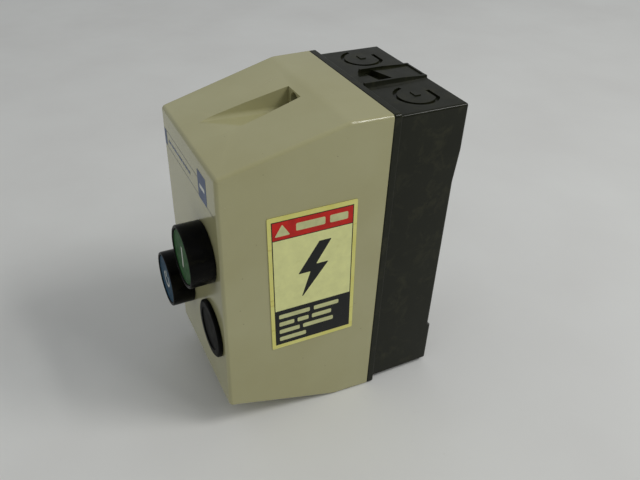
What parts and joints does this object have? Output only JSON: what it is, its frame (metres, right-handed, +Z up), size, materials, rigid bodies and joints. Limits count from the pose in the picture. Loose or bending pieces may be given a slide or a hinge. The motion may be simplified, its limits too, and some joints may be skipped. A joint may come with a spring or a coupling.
{
  "type": "magnetic motor starter",
  "caption": "Enclosed magnetic motor starter: beige lift-off lid with start and reset push buttons on a black box that holds a contactor and an overload relay.",
  "frame": {"origin": "bottom centre of the box that encloses the closed starter", "axes": "+X to the right seen from the buttons, +Y towards the wall, +Z up"},
  "size_m": [0.098, 0.1502, 0.1874],
  "materials": {
    "beige_plastic": "semi-gloss moulded, fine texture",
    "black_plastic": "satin moulded",
    "black_operator": "satin moulded",
    "green_cap": "satin moulded",
    "blue_cap": "satin moulded",
    "red_cap": "satin moulded",
    "grey_plastic": "moulded",
    "cream_plastic": "moulded",
    "rubber": "matt",
    "core_steel": "laminated, ground faces",
    "zinc_steel": "zinc plated",
    "copper": "copper, bright",
    "brass": "bright",
    "side_label_print": "printed vinyl"
  },
  "bodies": {
    "base": {"base_box": "black_plastic", "cover_gasket": "rubber", "mounting_rail": "zinc_steel", "rail_screw_left": "zinc_steel", "rail_screw_right": "zinc_steel", "earth_terminal": "brass", "contactor_base": "black_plastic", "contactor_housing": "black_plastic", "contactor_cover": "black_plastic", "coil_bobbin": "cream_plastic", "coil_winding": "copper", "magnet_core": "core_steel", "return_spring": "zinc_steel", "line_terminal_1": "copper", "line_terminal_2": "copper", "line_terminal_3": "copper", "load_terminal_1": "copper", "load_terminal_2": "copper", "load_terminal_3": "copper", "line_screw_1": "zinc_steel", "line_screw_2": "zinc_steel", "line_screw_3": "zinc_steel", "load_screw_1": "zinc_steel", "load_screw_2": "zinc_steel", "load_screw_3": "zinc_steel", "start_contact_block": "black_plastic", "relay_housing": "black_plastic", "relay_pin_1": "copper", "relay_pin_2": "copper", "relay_pin_3": "copper"},
    "cover": {"cover": "beige_plastic", "side_label": "side_label_print", "start_bezel": "black_operator", "start_nut": "grey_plastic", "start_seal": "rubber", "start_spring": "zinc_steel", "reset_bezel": "black_operator", "reset_nut": "grey_plastic", "reset_seal": "rubber", "reset_spring": "zinc_steel", "blanking_plug": "black_operator", "plug_nut": "grey_plastic", "plug_seal": "rubber"},
    "top_screw": {"cover_screw_top": "zinc_steel"},
    "bottom_screw": {"cover_screw_bottom": "zinc_steel"},
    "start_operator": {"start_button": "green_cap", "start_rod": "grey_plastic"},
    "reset_operator": {"reset_button": "blue_cap", "reset_rod": "grey_plastic"},
    "contact_carrier": {"contact_carrier": "cream_plastic", "armature": "core_steel", "contact_bridge_1": "copper", "contact_bridge_2": "copper", "contact_bridge_3": "copper"},
    "start_plunger": {"start_contact_plunger": "grey_plastic"},
    "reset_key": {"relay_reset_key": "blue_cap"},
    "stop_key": {"relay_stop_key": "red_cap"},
    "setting_dial": {"relay_dial": "cream_plastic"}
  },
  "joints": [
    {"name": "cover_lift", "type": "slide", "parent": "base", "child": "cover", "axis": [0, -1, 0], "range_m": [0, 0.15]},
    {"name": "top_screw_turn", "type": "hinge", "parent": "cover", "child": "top_screw", "pos_m": [0, 0.02905, 0.18], "axis": [0, -1, 0], "continuous": true},
    {"name": "bottom_screw_turn", "type": "hinge", "parent": "cover", "child": "bottom_screw", "pos_m": [0, 0.02905, 0.0074], "axis": [0, -1, 0], "continuous": true},
    {"name": "start_press", "type": "slide", "parent": "cover", "child": "start_operator", "axis": [0, 1, 0], "range_m": [0, 0.004], "stiffness_N_per_m": 500, "springref_m": -0.004, "deforming": ["start_spring"]},
    {"name": "reset_press", "type": "slide", "parent": "cover", "child": "reset_operator", "axis": [0, 1, 0], "range_m": [0, 0.004], "stiffness_N_per_m": 500, "springref_m": -0.004, "deforming": ["reset_spring"]},
    {"name": "carrier_pull_in", "type": "slide", "parent": "base", "child": "contact_carrier", "axis": [0, 1, 0], "range_m": [0, 0.0045], "stiffness_N_per_m": 900, "springref_m": -0.005, "deforming": ["return_spring"]},
    {"name": "start_plunger_travel", "type": "slide", "parent": "base", "child": "start_plunger", "axis": [0, 1, 0], "range_m": [0, 0.004], "stiffness_N_per_m": 150, "springref_m": -0.004},
    {"name": "reset_key_travel", "type": "slide", "parent": "base", "child": "reset_key", "axis": [0, 1, 0], "range_m": [0, 0.004], "stiffness_N_per_m": 150, "springref_m": -0.004},
    {"name": "stop_key_travel", "type": "slide", "parent": "base", "child": "stop_key", "axis": [0, 1, 0], "range_m": [0, 0.0025], "stiffness_N_per_m": 200, "springref_m": -0.004},
    {"name": "dial_turn", "type": "hinge", "parent": "base", "child": "setting_dial", "pos_m": [-0.0095, 0.02905, 0.051], "axis": [0, -1, 0], "range_deg": [-120, 120]}
  ],
  "couplings": [
    {"joint": "start_plunger_travel", "follows": "start_press", "ratio": 1},
    {"joint": "reset_key_travel", "follows": "reset_press", "ratio": 1}
  ]
}
